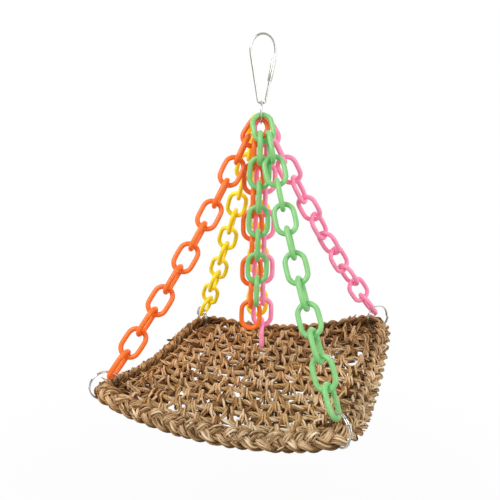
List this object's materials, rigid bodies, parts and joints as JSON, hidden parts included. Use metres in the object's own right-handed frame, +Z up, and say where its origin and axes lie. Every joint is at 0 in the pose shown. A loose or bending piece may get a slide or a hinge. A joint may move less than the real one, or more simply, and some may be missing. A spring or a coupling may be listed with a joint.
{
  "type": "grass mat bird toy",
  "caption": "Woven seagrass mat hung by its corners on coloured plastic chains that meet on a ring under a pear-shaped wire link, with loose chains dangling above it for a cage bird.",
  "frame": {"origin": "inside of the pear link's crown, where the toy bears on the bar that it hangs from", "axes": "+Z up along the hanging line, +X along the mat's front edge to the right, +Y to the mat's back edge"},
  "size_m": [0.234, 0.234, 0.3195],
  "materials": {
    "nickel_wire": "nickel plated",
    "nickel_sleeve": "nickel plated",
    "green_plastic": "moulded",
    "orange_plastic": "moulded",
    "pink_plastic": "moulded",
    "yellow_plastic": "moulded",
    "seagrass_cord": "dried grass cord",
    "seagrass_plait": "dried grass plait"
  },
  "bodies": {
    "pear_link": {"pear_link_wire": "nickel_wire"},
    "gate": {"gate_sleeve": "nickel_sleeve"},
    "ring": {"top_ring": "nickel_wire"},
    "swing": {"green_top_link": "green_plastic", "green_chain_upper": "green_plastic", "green_chain_middle": "green_plastic", "green_chain_lower": "green_plastic", "green_dangle_1": "green_plastic", "orange_top_link": "orange_plastic", "orange_chain_upper": "orange_plastic", "orange_chain_middle": "orange_plastic", "orange_chain_lower": "orange_plastic", "orange_dangle_1": "orange_plastic", "pink_top_link": "pink_plastic", "pink_chain_upper": "pink_plastic", "pink_chain_middle": "pink_plastic", "pink_chain_lower": "pink_plastic", "pink_dangle_1": "pink_plastic", "yellow_top_link": "yellow_plastic", "yellow_chain_upper": "yellow_plastic", "yellow_chain_middle": "yellow_plastic", "yellow_chain_lower": "yellow_plastic", "yellow_dangle_1": "yellow_plastic", "mat_border": "seagrass_plait", "mat_net": "seagrass_cord"},
    "green_split_ring": {"green_split_ring": "nickel_wire"},
    "green_dangle_2": {"green_dangle_2": "green_plastic"},
    "green_dangle_3": {"green_dangle_3": "green_plastic"},
    "green_dangle_4": {"green_dangle_4": "green_plastic"},
    "green_dangle_5": {"green_dangle_5": "green_plastic"},
    "green_dangle_6": {"green_dangle_6": "green_plastic"},
    "green_dangle_7": {"green_dangle_7": "green_plastic"},
    "orange_split_ring": {"orange_split_ring": "nickel_wire"},
    "orange_dangle_2": {"orange_dangle_2": "orange_plastic"},
    "orange_dangle_3": {"orange_dangle_3": "orange_plastic"},
    "orange_dangle_4": {"orange_dangle_4": "orange_plastic"},
    "orange_dangle_5": {"orange_dangle_5": "orange_plastic"},
    "orange_dangle_6": {"orange_dangle_6": "orange_plastic"},
    "orange_dangle_7": {"orange_dangle_7": "orange_plastic"},
    "orange_dangle_8": {"orange_dangle_8": "orange_plastic"},
    "pink_split_ring": {"pink_split_ring": "nickel_wire"},
    "pink_dangle_2": {"pink_dangle_2": "pink_plastic"},
    "pink_dangle_3": {"pink_dangle_3": "pink_plastic"},
    "pink_dangle_4": {"pink_dangle_4": "pink_plastic"},
    "pink_dangle_5": {"pink_dangle_5": "pink_plastic"},
    "pink_dangle_6": {"pink_dangle_6": "pink_plastic"},
    "pink_dangle_7": {"pink_dangle_7": "pink_plastic"},
    "pink_dangle_8": {"pink_dangle_8": "pink_plastic"},
    "pink_dangle_9": {"pink_dangle_9": "pink_plastic"},
    "yellow_split_ring": {"yellow_split_ring": "nickel_wire"},
    "yellow_dangle_2": {"yellow_dangle_2": "yellow_plastic"},
    "yellow_dangle_3": {"yellow_dangle_3": "yellow_plastic"},
    "yellow_dangle_4": {"yellow_dangle_4": "yellow_plastic"},
    "yellow_dangle_5": {"yellow_dangle_5": "yellow_plastic"},
    "yellow_dangle_6": {"yellow_dangle_6": "yellow_plastic"},
    "yellow_dangle_7": {"yellow_dangle_7": "yellow_plastic"},
    "yellow_dangle_8": {"yellow_dangle_8": "yellow_plastic"}
  },
  "joints": [
    {"name": "gate_slide", "type": "slide", "parent": "pear_link", "child": "gate", "axis": [-0.1706, -0.0554, -0.9838], "range_m": [0, 0.009]},
    {"name": "ring_swing", "type": "hinge", "parent": "pear_link", "child": "ring", "pos_m": [0, 0, -0.056], "axis": [0.9511, 0.309, 0], "range_deg": [-45, 45]},
    {"name": "mat_swing", "type": "hinge", "parent": "ring", "child": "swing", "pos_m": [0, 0, -0.07109], "axis": [-0.309, 0.9511, 0], "range_deg": [-12, 12]},
    {"name": "green_split_ring_turn", "type": "hinge", "parent": "swing", "child": "green_split_ring", "pos_m": [0.09995, -0.09995, -0.29295], "axis": [-0.7071, -0.7071, 0], "continuous": true},
    {"name": "green_dangle_2_hinge", "type": "hinge", "parent": "swing", "child": "green_dangle_2", "pos_m": [0.00547, -0.01745, -0.1045], "axis": [-0.9781, -0.2079, 0], "range_deg": [0, 14]},
    {"name": "green_dangle_3_hinge", "type": "hinge", "parent": "green_dangle_2", "child": "green_dangle_3", "pos_m": [0.00547, -0.01745, -0.12534], "axis": [-0.9781, -0.2079, 0], "range_deg": [0, 14]},
    {"name": "green_dangle_4_hinge", "type": "hinge", "parent": "green_dangle_3", "child": "green_dangle_4", "pos_m": [0.00547, -0.01745, -0.14618], "axis": [-0.9781, -0.2079, 0], "range_deg": [0, 14]},
    {"name": "green_dangle_5_hinge", "type": "hinge", "parent": "green_dangle_4", "child": "green_dangle_5", "pos_m": [0.00547, -0.01745, -0.16702], "axis": [-0.9781, -0.2079, 0], "range_deg": [0, 14]},
    {"name": "green_dangle_6_hinge", "type": "hinge", "parent": "green_dangle_5", "child": "green_dangle_6", "pos_m": [0.00547, -0.01745, -0.18786], "axis": [-0.9781, -0.2079, 0], "range_deg": [0, 14]},
    {"name": "green_dangle_7_hinge", "type": "hinge", "parent": "green_dangle_6", "child": "green_dangle_7", "pos_m": [0.00547, -0.01745, -0.2087], "axis": [-0.9781, -0.2079, 0], "range_deg": [0, 14]},
    {"name": "orange_split_ring_turn", "type": "hinge", "parent": "swing", "child": "orange_split_ring", "pos_m": [-0.09995, -0.09995, -0.29277], "axis": [-0.7071, 0.7071, 0], "continuous": true},
    {"name": "orange_dangle_2_hinge", "type": "hinge", "parent": "swing", "child": "orange_dangle_2", "pos_m": [-0.0035, -0.00668, -0.11036], "axis": [0.3584, 0.9336, 0], "range_deg": [0, 14]},
    {"name": "orange_dangle_3_hinge", "type": "hinge", "parent": "orange_dangle_2", "child": "orange_dangle_3", "pos_m": [-0.0035, -0.00668, -0.1312], "axis": [0.3584, 0.9336, 0], "range_deg": [0, 14]},
    {"name": "orange_dangle_4_hinge", "type": "hinge", "parent": "orange_dangle_3", "child": "orange_dangle_4", "pos_m": [-0.0035, -0.00668, -0.15204], "axis": [0.3584, 0.9336, 0], "range_deg": [0, 14]},
    {"name": "orange_dangle_5_hinge", "type": "hinge", "parent": "orange_dangle_4", "child": "orange_dangle_5", "pos_m": [-0.0035, -0.00668, -0.17288], "axis": [0.3584, 0.9336, 0], "range_deg": [0, 14]},
    {"name": "orange_dangle_6_hinge", "type": "hinge", "parent": "orange_dangle_5", "child": "orange_dangle_6", "pos_m": [-0.0035, -0.00668, -0.19372], "axis": [0.3584, 0.9336, 0], "range_deg": [0, 14]},
    {"name": "orange_dangle_7_hinge", "type": "hinge", "parent": "orange_dangle_6", "child": "orange_dangle_7", "pos_m": [-0.0035, -0.00668, -0.21456], "axis": [0.3584, 0.9336, 0], "range_deg": [0, 14]},
    {"name": "orange_dangle_8_hinge", "type": "hinge", "parent": "orange_dangle_7", "child": "orange_dangle_8", "pos_m": [-0.0035, -0.00668, -0.2354], "axis": [0.3584, 0.9336, 0], "range_deg": [0, 14]},
    {"name": "pink_split_ring_turn", "type": "hinge", "parent": "swing", "child": "pink_split_ring", "pos_m": [0.09995, 0.09995, -0.26721], "axis": [0.7071, -0.7071, 0], "continuous": true},
    {"name": "pink_dangle_2_hinge", "type": "hinge", "parent": "swing", "child": "pink_dangle_2", "pos_m": [0.0035, 0.00668, -0.11036], "axis": [-0.2756, -0.9613, 0], "range_deg": [0, 14]},
    {"name": "pink_dangle_3_hinge", "type": "hinge", "parent": "pink_dangle_2", "child": "pink_dangle_3", "pos_m": [0.0035, 0.00668, -0.1312], "axis": [-0.2756, -0.9613, 0], "range_deg": [0, 14]},
    {"name": "pink_dangle_4_hinge", "type": "hinge", "parent": "pink_dangle_3", "child": "pink_dangle_4", "pos_m": [0.0035, 0.00668, -0.15204], "axis": [-0.2756, -0.9613, 0], "range_deg": [0, 14]},
    {"name": "pink_dangle_5_hinge", "type": "hinge", "parent": "pink_dangle_4", "child": "pink_dangle_5", "pos_m": [0.0035, 0.00668, -0.17288], "axis": [-0.2756, -0.9613, 0], "range_deg": [0, 14]},
    {"name": "pink_dangle_6_hinge", "type": "hinge", "parent": "pink_dangle_5", "child": "pink_dangle_6", "pos_m": [0.0035, 0.00668, -0.19372], "axis": [-0.2756, -0.9613, 0], "range_deg": [0, 14]},
    {"name": "pink_dangle_7_hinge", "type": "hinge", "parent": "pink_dangle_6", "child": "pink_dangle_7", "pos_m": [0.0035, 0.00668, -0.21456], "axis": [-0.2756, -0.9613, 0], "range_deg": [0, 14]},
    {"name": "pink_dangle_8_hinge", "type": "hinge", "parent": "pink_dangle_7", "child": "pink_dangle_8", "pos_m": [0.0035, 0.00668, -0.2354], "axis": [-0.2756, -0.9613, 0], "range_deg": [0, 14]},
    {"name": "pink_dangle_9_hinge", "type": "hinge", "parent": "pink_dangle_8", "child": "pink_dangle_9", "pos_m": [0.0035, 0.00668, -0.25624], "axis": [-0.2756, -0.9613, 0], "range_deg": [0, 14]},
    {"name": "yellow_split_ring_turn", "type": "hinge", "parent": "swing", "child": "yellow_split_ring", "pos_m": [-0.09995, 0.09995, -0.29295], "axis": [0.7071, 0.7071, 0], "continuous": true},
    {"name": "yellow_dangle_2_hinge", "type": "hinge", "parent": "swing", "child": "yellow_dangle_2", "pos_m": [-0.00547, 0.01745, -0.1045], "axis": [0.9816, 0.1908, 0], "range_deg": [0, 14]},
    {"name": "yellow_dangle_3_hinge", "type": "hinge", "parent": "yellow_dangle_2", "child": "yellow_dangle_3", "pos_m": [-0.00547, 0.01745, -0.12534], "axis": [0.9816, 0.1908, 0], "range_deg": [0, 14]},
    {"name": "yellow_dangle_4_hinge", "type": "hinge", "parent": "yellow_dangle_3", "child": "yellow_dangle_4", "pos_m": [-0.00547, 0.01745, -0.14618], "axis": [0.9816, 0.1908, 0], "range_deg": [0, 14]},
    {"name": "yellow_dangle_5_hinge", "type": "hinge", "parent": "yellow_dangle_4", "child": "yellow_dangle_5", "pos_m": [-0.00547, 0.01745, -0.16702], "axis": [0.9816, 0.1908, 0], "range_deg": [0, 14]},
    {"name": "yellow_dangle_6_hinge", "type": "hinge", "parent": "yellow_dangle_5", "child": "yellow_dangle_6", "pos_m": [-0.00547, 0.01745, -0.18786], "axis": [0.9816, 0.1908, 0], "range_deg": [0, 14]},
    {"name": "yellow_dangle_7_hinge", "type": "hinge", "parent": "yellow_dangle_6", "child": "yellow_dangle_7", "pos_m": [-0.00547, 0.01745, -0.2087], "axis": [0.9816, 0.1908, 0], "range_deg": [0, 14]},
    {"name": "yellow_dangle_8_hinge", "type": "hinge", "parent": "yellow_dangle_7", "child": "yellow_dangle_8", "pos_m": [-0.00547, 0.01745, -0.22954], "axis": [0.9816, 0.1908, 0], "range_deg": [0, 14]}
  ]
}
